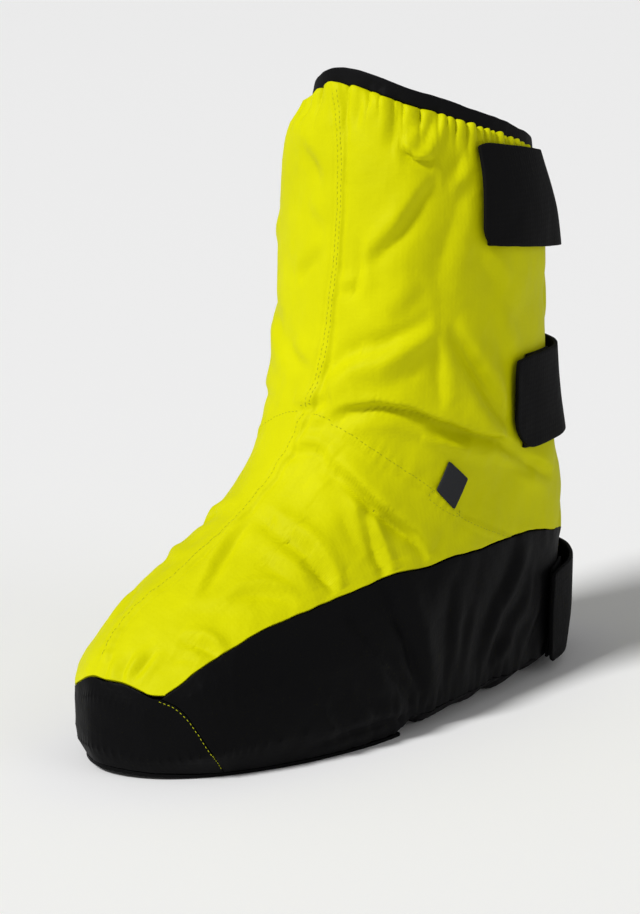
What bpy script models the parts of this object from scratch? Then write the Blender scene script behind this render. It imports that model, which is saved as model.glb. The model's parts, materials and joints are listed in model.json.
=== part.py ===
"""Winter overshoe for the left foot, worn over a work boot: metres, +Z up, toe towards -Y, lateral side +X.

Every fabric piece is an offset of one form, the overshoe's own last. The form is read at a station round
the foot and a height above the floor. Stations run from the front seam (0) by the lateral corner (1),
ball (2), waist (3) and rear (4) to the back (5). The medial side has the same stations below zero.
"""
import functools
import math
from collections import namedtuple

import bmesh
import bpy
import numpy as np
from mathutils import Vector

# Driving dimensions
FOOT_LENGTH = 0.328
BALL_WIDTH = 0.124
INSTEP_HEIGHT = 0.130
SHAFT_HEIGHT = 0.331
GATHER_REACH = 0.044
TOE_SPRING = 0.004
TOE_SPRING_LENGTH = 0.045

# Fabrics
SHELL_WALL = 0.0030
LOWER_WALL = 0.0023
PANEL_WALL = 0.0012
SOLE_THICKNESS = 0.0020
BINDING_HEIGHT = 0.0080
BINDING_OVERHANG = 0.0007
HEM_HEIGHT = 0.0100
HEM_THICKNESS = 0.0050
STRAP_WIDTH = 0.050
STRAP_THICKNESS = 0.0022
PATCH_THICKNESS = 0.0015
PATCH_LENGTH = 0.034
LABEL_THICKNESS = 0.0010

# Clearances
SEAT_GAP = 0.0003
LAYER_GAP = 0.0006
LEDGE_GAP = 0.0006
TRIM_GAP = 0.0005
STEP_HEIGHT = 0.0004
SOLE_TO_HEM = 0.0010

# Stations of the seams, edges and closure
STATIONS = 10
CAP_CORNER_LATERAL = 0.66
CAP_CORNER_MEDIAL = -0.7
CAP_FOOT_LATERAL = 1.18
CAP_FOOT_MEDIAL = -1.2
CAP_SEAM_BEND = 1.25
SOLE_END = 2.4
HEM_RAMP = 0.25
FLAP_EDGE = -5.1
RAMP_START = 4.6
RAMP_END = 4.9
PLACKET_END = 5.45
STRAP_SEWN = 6.0

# The form's sections. Height: 0 to 1 is a share of the instep height, 1 to 2 goes on to the shaft height.
# Front and back are shares of the foot length from the toe tip, the rest are shares of the ball width.
SECTION_COLUMNS = ("height", "front", "back", "seam_x", "corner_l", "ball_l", "waist_l", "rear_l",
                   "corner_m", "ball_m", "waist_m", "rear_m")
SECTIONS = (
    (0.000, 0.037, 0.970, -0.081, 0.218, 0.452, 0.419, 0.290, 0.339, 0.403, 0.306, 0.242),
    (0.031, 0.012, 0.985, -0.081, 0.266, 0.492, 0.468, 0.339, 0.387, 0.452, 0.355, 0.282),
    (0.108, 0.000, 0.997, -0.081, 0.298, 0.516, 0.500, 0.363, 0.411, 0.476, 0.387, 0.306),
    (0.308, 0.000, 1.000, -0.089, 0.298, 0.516, 0.508, 0.363, 0.403, 0.476, 0.403, 0.306),
    (0.446, 0.034, 1.000, -0.105, 0.274, 0.500, 0.500, 0.355, 0.371, 0.460, 0.403, 0.306),
    (0.615, 0.122, 1.000, -0.097, 0.250, 0.460, 0.476, 0.347, 0.347, 0.444, 0.403, 0.306),
    (0.800, 0.256, 0.991, -0.056, 0.250, 0.435, 0.452, 0.331, 0.306, 0.427, 0.403, 0.306),
    (1.000, 0.351, 0.960, -0.008, 0.274, 0.435, 0.435, 0.323, 0.298, 0.419, 0.411, 0.306),
    (1.174, 0.405, 0.930, 0.048, 0.306, 0.444, 0.444, 0.315, 0.306, 0.435, 0.427, 0.315),
    (1.448, 0.436, 0.909, 0.097, 0.339, 0.452, 0.460, 0.323, 0.323, 0.452, 0.444, 0.323),
    (1.697, 0.445, 0.905, 0.113, 0.347, 0.452, 0.460, 0.323, 0.323, 0.452, 0.444, 0.323),
    (2.000, 0.454, 0.905, 0.097, 0.347, 0.444, 0.452, 0.323, 0.315, 0.435, 0.427, 0.323),
)
# The collar, drawn in by its elastic, in the same columns after the height.
COLLAR = (0.470, 0.878, 0.040, 0.242, 0.371, 0.379, 0.274, 0.161, 0.355, 0.363, 0.274)
# Where along a section, front to back, its corner, ball, waist and rear lie.
ALONG = (0.0, 0.08, 0.32, 0.60, 0.88, 1.0)
# The collar's height at stations 0 to 9, as shares of the shaft height.
COLLAR_HEIGHTS = (1.000, 0.982, 0.946, 0.915, 0.882, 0.864, 0.882, 0.915, 0.946, 0.979)

# Upper edges of the black pieces: station, height as a share of the instep height.
CAP_EDGE = ((-0.7, 0.262), (-0.5, 0.296), (-0.25, 0.350), (0.0, 0.377), (0.3, 0.377), (0.66, 0.322))
PANEL_EDGE = ((0.66, 0.322), (0.8, 0.378), (1.0, 0.458), (1.25, 0.535), (1.5, 0.581), (2.0, 0.646),
              (3.0, 0.662), (3.5, 0.655), (4.0, 0.596), (4.5, 0.542), (5.0, 0.523), (5.5, 0.542),
              (6.0, 0.596), (6.5, 0.648), (7.0, 0.655), (8.0, 0.615), (8.5, 0.535), (9.0, 0.370),
              (9.15, 0.305), (9.3, 0.262))

# Each strap: station of its free end, heights of its middle at the free end, the back and the sewn end
# (shares of the shaft height), how far it stands off the back corner at its lower and upper edge, and
# the cut of its lower corner.
Strap = namedtuple("Strap", "free_end end_height back_height sewn_height low_stand high_stand low_cut")
STRAPS = {
    "top": Strap(2.20, 0.811, 0.776, 0.767, 0.0070, 0.0010, 0.005),
    "mid": Strap(2.91, 0.477, 0.474, 0.474, 0.0035, 0.0035, 0.012),
    "heel": Strap(3.75, 0.103, 0.103, 0.103, 0.0050, 0.0050, 0.006),
}
STRAP_CORNER = 4.55
STRAP_CORNER_REACH = 0.90
STRAP_DESCENT = (5.2, 5.8)
STRAP_HIGH_CUT = 0.002
# The label's corners: station, height as a share of the instep height.
LABEL = ((2.00, 0.931), (2.05, 1.038), (2.35, 0.954), (2.30, 0.846))

# Mesh density
FINE_STEP = 0.1
FINE_REACH = 1.2
COARSE_STEP = 1 / 6
CLEAR_SHARE = 0.45
PANEL_ROWS = 5
CAP_COLUMNS = 26
SHAFT_ROWS = 15
SHAFT_ROW_BUNCHING = 1.5
SOLE_ACROSS = 6
STRAP_ROWS = 3
LABEL_CELLS = 2
NORMAL_STEP = 0.001
WELD = 1e-6

PLACKET_DEPTH = LAYER_GAP + max(HEM_THICKNESS, SHELL_WALL + 2 * BINDING_OVERHANG,
                                PANEL_WALL + LAYER_GAP + LOWER_WALL)
PAD_SEAT = TRIM_GAP + PATCH_THICKNESS


def monotone(xs, ys, x):
    """Smooth curve through table rows that never overshoots them."""
    count = len(xs)
    gaps = [xs[i + 1] - xs[i] for i in range(count - 1)]
    rates = [(ys[i + 1] - ys[i]) / gaps[i] for i in range(count - 1)]
    slopes = [rates[0]] + [0.0] * (count - 2) + [rates[-1]]
    for i in range(1, count - 1):
        if rates[i - 1] * rates[i] > 0:
            before = 2 * gaps[i] + gaps[i - 1]
            after = gaps[i] + 2 * gaps[i - 1]
            slopes[i] = (before + after) / (before / rates[i - 1] + after / rates[i])
    i = 0
    while i < count - 2 and x > xs[i + 1]:
        i += 1
    t = min(max((x - xs[i]) / gaps[i], 0.0), 1.0)
    return ((2 * t**3 - 3 * t**2 + 1) * ys[i] + (t**3 - 2 * t**2 + t) * gaps[i] * slopes[i]
            + (3 * t**2 - 2 * t**3) * ys[i + 1] + (t**3 - t**2) * gaps[i] * slopes[i + 1])


def table(rows, x):
    """Value at x of a two-column table."""
    return monotone([row[0] for row in rows], [row[1] for row in rows], x)


def ease(t):
    """Smooth step from 0 to 1."""
    t = min(max(t, 0.0), 1.0)
    return t * t * (3 - 2 * t)


def outline(front, back, seam_x, corner_l, ball_l, waist_l, rear_l, corner_m, ball_m, waist_m, rear_m):
    """The ten points of a section, at stations 0 to 9, from shares of length and ball width."""
    y = [FOOT_LENGTH * (front + (back - front) * share) for share in ALONG]
    lateral = [(seam_x, y[0]), (corner_l, y[1]), (ball_l, y[2]), (waist_l, y[3]), (rear_l, y[4]), (0.0, y[5])]
    medial = [(-rear_m, y[4]), (-waist_m, y[3]), (-ball_m, y[2]), (-corner_m, y[1])]
    return np.array([(share * BALL_WIDTH, place) for share, place in lateral + medial])


def around(points, station):
    """Point of the closed centripetal spline through a section's ten points."""
    base = math.floor(station)
    t = station - base
    p0, p1, p2, p3 = (points[(base + k) % STATIONS] for k in (-1, 0, 1, 2))
    d0, d1, d2 = (np.linalg.norm(step) ** 0.5 for step in (p1 - p0, p2 - p1, p3 - p2))
    m1 = ((p1 - p0) / d0 - (p2 - p0) / (d0 + d1) + (p2 - p1) / d1) * d1
    m2 = ((p2 - p1) / d1 - (p3 - p1) / (d1 + d2) + (p3 - p2) / d2) * d1
    return ((2 * t**3 - 3 * t**2 + 1) * p1 + (t**3 - 2 * t**2 + t) * m1
            + (3 * t**2 - 2 * t**3) * p2 + (t**3 - t**2) * m2)


def level_height(share):
    """Height of a section's row."""
    if share <= 1:
        return share * INSTEP_HEIGHT
    return INSTEP_HEIGHT + (share - 1) * (SHAFT_HEIGHT - INSTEP_HEIGHT)


LEVELS = [level_height(row[0]) for row in SECTIONS]
COLLAR_OUTLINE = outline(*COLLAR)


@functools.lru_cache(maxsize=None)
def section(height):
    """The ten points of the form's section at a height."""
    columns = [[row[k] for row in SECTIONS] for k in range(1, len(SECTION_COLUMNS))]
    return outline(*(monotone(LEVELS, column, height) for column in columns))


@functools.lru_cache(maxsize=None)
def collar_height(station):
    """Height of the collar's upper edge."""
    base = math.floor(station)
    t = station - base
    h0, h1, h2, h3 = (SHAFT_HEIGHT * COLLAR_HEIGHTS[(base + k) % STATIONS] for k in (-1, 0, 1, 2))
    return ((2 * t**3 - 3 * t**2 + 1) * h1 + (t**3 - 2 * t**2 + t) * (h2 - h0) / 2
            + (3 * t**2 - 2 * t**3) * h2 + (t**3 - t**2) * (h3 - h1) / 2)


@functools.lru_cache(maxsize=None)
def form_point(station, height):
    """Point of the form, with y from the toe tip; the last stretch draws in to the collar."""
    body = around(section(height), station)
    drawn = ease(1 + (height - collar_height(station)) / GATHER_REACH)
    x, y = body * (1 - drawn) + around(COLLAR_OUTLINE, station) * drawn
    return Vector((x, y, height))


@functools.lru_cache(maxsize=None)
def form_normal(station, height):
    """Outward normal of the form."""
    low = max(height - NORMAL_STEP, 0.0)
    side = form_point(station + NORMAL_STEP, height) - form_point(station - NORMAL_STEP, height)
    up = form_point(station, height + NORMAL_STEP) - form_point(station, low)
    return side.cross(up).normalized()


def offset(station, height, depth):
    """Point at a depth outside the form, in the part's frame."""
    return form_point(station, height) + form_normal(station, height) * depth - ORIGIN


def level_offset(station, height, depth):
    """The same, kept at its height."""
    normal = form_normal(station, height)
    flat = Vector((normal.x, normal.y, 0.0)).normalized()
    return form_point(station, height) + flat * depth - ORIGIN


def step_along(station, height, distance):
    """Station reached by going a distance along the outline."""
    speed = (form_point(station + NORMAL_STEP, height) - form_point(station, height)).length / NORMAL_STEP
    return station + distance / speed


def edge_height(station):
    """Height of the step in the wall, where the yellow fabric meets the black pieces."""
    signed = (station + STATIONS / 2) % STATIONS - STATIONS / 2
    if CAP_CORNER_MEDIAL <= signed <= CAP_CORNER_LATERAL:
        return INSTEP_HEIGHT * table(CAP_EDGE, signed)
    return INSTEP_HEIGHT * table(PANEL_EDGE, station % STATIONS)


def toe_lift(y):
    """How far the toe spring lifts the sole at y from the toe tip."""
    return TOE_SPRING * max(0.0, 1 - y / TOE_SPRING_LENGTH) ** 2


@functools.lru_cache(maxsize=None)
def foot_height(station):
    """Height of the lower edge of the wall: over the sole panel, then up over the hem."""
    signed = abs((station + STATIONS / 2) % STATIONS - STATIONS / 2)
    lift = toe_lift(form_point(station, SOLE_THICKNESS).y)
    rise = min(max((signed - SOLE_END) / HEM_RAMP, 0.0), 1.0)
    return SOLE_THICKNESS + lift + SEAT_GAP + rise * (HEM_HEIGHT - SOLE_THICKNESS)


def placket_shift(station):
    """The lateral side steps in behind the flap, to lie under it."""
    return -PLACKET_DEPTH * ease((station - RAMP_START) / (RAMP_END - RAMP_START))


def cap_side(side):
    """Stations of the toe cap's side seam at its corner and at its foot."""
    if side < 0:
        return CAP_CORNER_MEDIAL, CAP_FOOT_MEDIAL
    return CAP_CORNER_LATERAL, CAP_FOOT_LATERAL


def cap_seam(corner, foot, height):
    """Station of the toe cap's side seam at a height."""
    rise = min(max(height / edge_height(corner), 0.0), 1.0)
    return foot + (corner - foot) * rise ** CAP_SEAM_BEND


def stations(start, end):
    """Columns of a piece: its two ends and the shared columns between them."""
    fine = round(FINE_REACH / FINE_STEP)
    coarse = round(STATIONS / COARSE_STEP)
    shared = [k * FINE_STEP for k in range(-fine, fine + 1)]
    shared += [k * COARSE_STEP for k in range(-coarse, coarse + 1) if abs(k * COARSE_STEP) > FINE_REACH]
    shared += [RAMP_START, (RAMP_START + RAMP_END) / 2, RAMP_END]
    clear = FINE_STEP * CLEAR_SHARE
    kept = [start]
    for station in sorted(shared):
        if station - kept[-1] > clear and end - station > clear:
            kept.append(station)
    return kept + [end]


def shares(count, bunching=1.0):
    """Rows as shares of a height."""
    return [(k / count) ** bunching for k in range(count + 1)]


def sheet(name, columns, rows, place, material):
    """A closed piece of fabric: a grid, extruded to its outer face, each vertex put where place says."""
    bm = bmesh.new()
    across = len(columns) - 1
    along = len(rows) - 1
    bmesh.ops.create_grid(bm, x_segments=across, y_segments=along, size=1.0)
    inner = list(bm.verts)
    extruded = bmesh.ops.extrude_face_region(bm, geom=list(bm.faces))
    outer = [item for item in extruded["geom"] if isinstance(item, bmesh.types.BMVert)]
    for verts, is_outer in ((inner, False), (outer, True)):
        for vert in verts:
            column = columns[round((vert.co.x + 1) / 2 * across)]
            row = rows[round((vert.co.y + 1) / 2 * along)]
            vert.co = place(column, row, is_outer)
    bmesh.ops.remove_doubles(bm, verts=bm.verts, dist=WELD)
    bmesh.ops.recalc_face_normals(bm, faces=bm.faces)
    mesh = bpy.data.meshes.new(name)
    bm.to_mesh(mesh)
    bm.free()
    mesh.shade_smooth()
    mesh.set_sharp_from_angle(angle=math.radians(40))
    mesh.materials.append(material)
    piece = bpy.data.objects.new(name, mesh)
    PARTS.objects.link(piece)
    return piece


def fabric(name, colour, roughness):
    """Material of one fabric."""
    material = bpy.data.materials.new(name)
    material.use_nodes = True
    shader = material.node_tree.nodes["Principled BSDF"]
    shader.inputs["Base Color"].default_value = (*colour, 1.0)
    shader.inputs["Roughness"].default_value = roughness
    shader.inputs["Metallic"].default_value = 0.0
    return material


def make_upper(material):
    """Foot and shaft in one wall, stepped in below the edge and cut down the back."""
    lower = [("lower", share) for share in shares(PANEL_ROWS)]
    upper = [("upper", share) for share in shares(SHAFT_ROWS, SHAFT_ROW_BUNCHING)]
    recess = PANEL_WALL + LAYER_GAP

    def place(station, row, is_outer):
        zone, share = row
        edge = edge_height(station)
        if zone == "lower":
            foot = foot_height(station)
            height = foot + (edge - STEP_HEIGHT - foot) * share
            depth = -recess if is_outer else -recess - LOWER_WALL
        else:
            top = collar_height(station) - BINDING_HEIGHT - SEAT_GAP
            height = edge + (top - edge) * share
            depth = 0.0 if is_outer else -SHELL_WALL
        return offset(station, height, depth + placket_shift(station))

    return sheet("upper", stations(FLAP_EDGE, PLACKET_END), lower + upper, place, material)


def panel_height(station, share):
    """Height in a black piece, from the foot of the wall to just under its step."""
    foot = foot_height(station)
    return foot + (edge_height(station) - STEP_HEIGHT - LEDGE_GAP - foot) * share


def make_toe_cap(material):
    """Black cap between its two side seams."""
    span = CAP_CORNER_LATERAL - CAP_CORNER_MEDIAL
    columns = [CAP_CORNER_MEDIAL + span * share for share in shares(CAP_COLUMNS)]

    def place(station, share, is_outer):
        corner, foot = cap_side(station)
        height = panel_height(corner, share)
        spread = cap_seam(corner, foot, height) / corner
        placed = station * spread
        depth = 0.0 if is_outer else -PANEL_WALL
        return offset(placed, panel_height(placed, share), depth)

    return sheet("toe_cap", columns, shares(PANEL_ROWS), place, material)


def make_side_panel(name, side, end, material):
    """Black panel from the toe cap's seam to the back."""
    corner, foot = cap_side(side)
    merge = side * (FINE_REACH + 3 * FINE_STEP)
    start, stop = (corner, end) if side > 0 else (end, corner)

    def place(station, share, is_outer):
        height = panel_height(corner, share)
        seam = step_along(cap_seam(corner, foot, height), height, side * SEAT_GAP)
        placed = station
        if abs(station) < abs(merge):
            placed = seam + (merge - seam) * (station - corner) / (merge - corner)
        depth = 0.0 if is_outer else -PANEL_WALL
        return offset(placed, panel_height(placed, share), depth + placket_shift(placed))

    return sheet(name, stations(start, stop), shares(PANEL_ROWS), place, material)


def make_sole(material):
    """Sole panel under the forefoot, sprung at the toe."""
    columns = [2 * share - 1 for share in shares(SOLE_ACROSS)]
    rows = stations(0.0, SOLE_END)

    def place(side, station, is_outer):
        edges = [form_point(sign * station, foot_height(sign * station) - SEAT_GAP) for sign in (-1, 1)]
        point = edges[0].lerp(edges[1], (side + 1) / 2)
        if is_outer:
            point.z -= SOLE_THICKNESS
        return point - ORIGIN

    return sheet("sole_forefoot", columns, rows, place, material)


def make_hem(name, start, end, material):
    """Elastic casing round the open rear of the underside, flat on the floor."""
    def place(station, share, is_outer):
        height = (foot_height(station) - SEAT_GAP) * share
        depth = 0.0 if is_outer else -HEM_THICKNESS
        return level_offset(station, height, depth + placket_shift(station))

    return sheet(name, stations(start, end), shares(1), place, material)


def make_binding(material):
    """Elastic binding on the rim."""
    def place(station, share, is_outer):
        height = collar_height(station) - BINDING_HEIGHT * (1 - share)
        depth = BINDING_OVERHANG if is_outer else -SHELL_WALL - BINDING_OVERHANG
        return offset(station, height, depth + placket_shift(station))

    return sheet("collar_binding", stations(FLAP_EDGE, PLACKET_END), shares(1), place, material)


def strap_middle(strap, station):
    """Height of the middle of a strap."""
    rows = ((strap.free_end, strap.end_height), (STATIONS / 2, strap.back_height),
            (STRAP_SEWN, strap.sewn_height))
    return SHAFT_HEIGHT * table(rows, station)


def strap_depth(strap, station, share):
    """How far a strap's inner face lies off the form: on its pad, round the back corner, to its seam."""
    stand = strap.low_stand + (strap.high_stand - strap.low_stand) * share
    reach = min(abs(station - STRAP_CORNER) / STRAP_CORNER_REACH, 1.0)
    start, end = STRAP_DESCENT
    on_pad = 1 - ease((station - start) / (end - start))
    seat = TRIM_GAP + (PATCH_THICKNESS + TRIM_GAP) * on_pad
    return seat + stand * math.cos(reach * math.pi / 2)


def make_strap(name, strap, material):
    """Hook tape from its seam round the back to its free end, whose corners are cut."""
    middle = strap_middle(strap, strap.free_end)
    shoulder = step_along(strap.free_end, middle, strap.low_cut)
    columns = [strap.free_end] + stations(shoulder, STRAP_SEWN)

    def place(station, share, is_outer):
        low = strap_middle(strap, station) - STRAP_WIDTH / 2
        high = low + STRAP_WIDTH
        if station == strap.free_end:
            low += strap.low_cut
            high -= STRAP_HIGH_CUT
        depth = strap_depth(strap, station, share) + (STRAP_THICKNESS if is_outer else 0.0)
        return offset(station, low + (high - low) * share, depth)

    return sheet(name, columns, shares(STRAP_ROWS), place, material)


def make_patch(name, strap, material):
    """Loop tape sewn on the lateral side, under the strap's free end."""
    middle = strap_middle(strap, strap.free_end)
    start = step_along(strap.free_end, middle, strap.low_cut)
    end = step_along(start, middle, PATCH_LENGTH)

    def place(station, share, is_outer):
        height = strap_middle(strap, station) + STRAP_WIDTH * (share - 0.5)
        return offset(station, height, PAD_SEAT if is_outer else TRIM_GAP)

    return sheet(name, stations(start, end), shares(STRAP_ROWS), place, material)


def make_label(material):
    """Small woven label, a leaning square."""
    left, top, right, bottom = (Vector((station, share * INSTEP_HEIGHT)) for station, share in LABEL)

    def place(across, along, is_outer):
        station, height = left.lerp(bottom, across).lerp(top.lerp(right, across), along)
        depth = TRIM_GAP + (LABEL_THICKNESS if is_outer else 0.0)
        return offset(station, height, depth)

    return sheet("side_label", shares(LABEL_CELLS), shares(LABEL_CELLS), place, material)


def origin():
    """The middle of the part's box on the floor, with y from the toe tip."""
    reach = strap_depth(STRAPS["heel"], STATIONS / 2, 0.5) + STRAP_THICKNESS
    lateral, medial = (SECTION_COLUMNS.index(name) for name in ("ball_l", "ball_m"))
    ball_l, ball_m = (max(row[k] for row in SECTIONS) for k in (lateral, medial))
    return Vector(((ball_l - ball_m) / 2 * BALL_WIDTH, (FOOT_LENGTH + reach) / 2, 0.0))


for leftover in list(bpy.data.objects):
    bpy.data.objects.remove(leftover, do_unlink=True)
PARTS = bpy.data.collections.new("winter_overshoe")
bpy.context.scene.collection.children.link(PARTS)
ORIGIN = origin()

yellow = fabric("high_visibility_shell", (0.62, 0.66, 0.0), 0.6)
black = fabric("black_shell", (0.010, 0.010, 0.010), 0.6)
elastic = fabric("woven_elastic", (0.012, 0.012, 0.012), 0.8)
tape = fabric("hook_and_loop_tape", (0.014, 0.014, 0.014), 0.9)
woven = fabric("woven_label", (0.03, 0.03, 0.035), 0.7)

make_upper(yellow)
make_toe_cap(black)
make_side_panel("side_panel_lateral", 1, PLACKET_END, black)
make_side_panel("side_panel_medial", -1, FLAP_EDGE, black)
make_sole(black)
hem_start = step_along(SOLE_END, SOLE_THICKNESS, SOLE_TO_HEM)
make_hem("hem_lateral", hem_start, PLACKET_END, black)
make_hem("hem_medial", FLAP_EDGE, -hem_start, black)
make_binding(elastic)
for strap_name, strap_row in STRAPS.items():
    make_strap("strap_" + strap_name, strap_row, tape)
    make_patch("loop_patch_" + strap_name, strap_row, tape)
make_label(woven)
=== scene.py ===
"""A winter overshoe for the left foot: an insulated shell of high-visibility cloth on black lower panels.

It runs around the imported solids, in metres, with the toe towards -Y and the outer side towards +X.
"""
import json
import math

import bpy
import numpy as np
from mathutils import Matrix, Vector, noise
from mathutils.bvhtree import BVHTree

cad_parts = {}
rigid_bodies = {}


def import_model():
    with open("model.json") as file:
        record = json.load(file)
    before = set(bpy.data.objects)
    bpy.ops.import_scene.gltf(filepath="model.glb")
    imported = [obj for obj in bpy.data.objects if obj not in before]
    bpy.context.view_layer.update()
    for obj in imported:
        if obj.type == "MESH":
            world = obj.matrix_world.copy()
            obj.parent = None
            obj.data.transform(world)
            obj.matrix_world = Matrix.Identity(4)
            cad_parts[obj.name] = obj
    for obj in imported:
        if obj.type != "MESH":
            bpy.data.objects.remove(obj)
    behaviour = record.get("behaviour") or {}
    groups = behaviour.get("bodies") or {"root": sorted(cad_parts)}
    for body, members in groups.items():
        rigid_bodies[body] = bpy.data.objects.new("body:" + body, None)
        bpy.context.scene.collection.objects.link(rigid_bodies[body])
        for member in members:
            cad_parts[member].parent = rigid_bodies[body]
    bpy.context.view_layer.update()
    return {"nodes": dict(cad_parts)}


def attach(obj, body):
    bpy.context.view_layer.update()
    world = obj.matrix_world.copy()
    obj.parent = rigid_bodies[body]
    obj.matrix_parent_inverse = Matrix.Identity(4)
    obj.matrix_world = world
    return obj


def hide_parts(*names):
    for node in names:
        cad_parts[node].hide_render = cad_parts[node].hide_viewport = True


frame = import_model()
bpy.ops.object.select_all(action="DESELECT")


# The shell: waterproof polyester cloth with a coated back, dyed fluorescent yellow, cut as a medial
# and a lateral half and sewn together down the front and over the instep. It is lofty and slack, so
# it breaks into deep folds at the ankle and gathers under the elastic at the collar.
def take(node_name, piece_name):
    """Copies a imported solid's mesh as a new piece, merges its loose triangles and pairs them to quads."""
    piece = bpy.data.objects.new(piece_name, frame["nodes"][node_name].data.copy())
    bpy.context.scene.collection.objects.link(piece)
    bpy.ops.object.select_all(action="DESELECT")
    piece.select_set(True)
    bpy.context.view_layer.objects.active = piece
    bpy.ops.object.mode_set(mode="EDIT")
    bpy.ops.mesh.select_all(action="SELECT")
    bpy.ops.mesh.remove_doubles(threshold=0.00002)
    bpy.ops.mesh.tris_convert_to_quads(face_threshold=math.pi, shape_threshold=math.pi)
    bpy.ops.object.mode_set(mode="OBJECT")
    piece.data.materials.clear()
    return piece


# Where the mesh turns more than this, the cloth is cut or steps in, and doesn't just bend.
CUT_EDGE = math.radians(50)


def keep_skin(piece, place, side, with_edges):
    """Keeps the smooth skin through the face nearest to a place, and the edge faces next to it if asked."""
    mesh = piece.data
    place, side = Vector(place), Vector(side)
    facing = [face for face in mesh.polygons if face.normal.dot(side) > 0]
    seed = min(facing, key=lambda face: (face.center - place).length)
    for group in (mesh.polygons, mesh.edges, mesh.vertices):
        group.foreach_set("select", [False] * len(group))
    seed.select = True
    mesh.polygons.active = seed.index
    bpy.ops.object.mode_set(mode="EDIT")
    bpy.ops.mesh.select_mode(type="FACE")
    bpy.ops.mesh.faces_select_linked_flat(sharpness=CUT_EDGE)
    if with_edges:
        bpy.ops.mesh.select_more(use_face_step=False)
    bpy.ops.mesh.select_all(action="INVERT")
    bpy.ops.mesh.delete(type="FACE")
    bpy.ops.object.mode_set(mode="OBJECT")


def refine(piece, levels=3, corners=()):
    """Lays the weave's UV map in metres, keeps the cut edges and corners crisp and smooths the rest."""
    corner_reach = 0.0045
    bpy.context.view_layer.objects.active = piece
    for vertex in piece.data.vertices:
        vertex.select = any((vertex.co - Vector(corner)).length < corner_reach for corner in corners)
    bpy.ops.object.mode_set(mode="EDIT")
    bpy.ops.mesh.select_mode(type="VERT")
    if corners:
        bpy.ops.transform.vert_crease(value=1.0)
    bpy.ops.mesh.select_mode(type="EDGE")
    bpy.ops.mesh.select_all(action="SELECT")
    bpy.ops.uv.cube_project(cube_size=2.0, correct_aspect=False)
    bpy.ops.mesh.select_all(action="DESELECT")
    bpy.ops.mesh.edges_select_sharp(sharpness=CUT_EDGE)
    bpy.ops.transform.edge_crease(value=0.9)
    bpy.ops.object.mode_set(mode="OBJECT")
    smooth = piece.modifiers.new("smooth", "SUBSURF")
    smooth.levels = levels
    smooth.render_levels = levels
    bpy.ops.object.modifier_apply(modifier="smooth")
    bpy.ops.object.shade_smooth_by_angle(angle=math.radians(40))


# The middle line of leg and foot, in mm. The cloth is pushed away from it.
MIDDLE = [(0, -125, 22), (0, -100, 28), (0, -70, 36), (0, -40, 45), (0, -10, 52), (1, 20, 60),
          (2, 45, 80), (3, 58, 110), (4, 60, 140), (4, 60, 170), (4, 58, 200), (4, 56, 230),
          (4, 54, 260), (3, 53, 290), (3, 53, 320), (3, 53, 345), (1, 60, 50), (1, 90, 45)]

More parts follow.
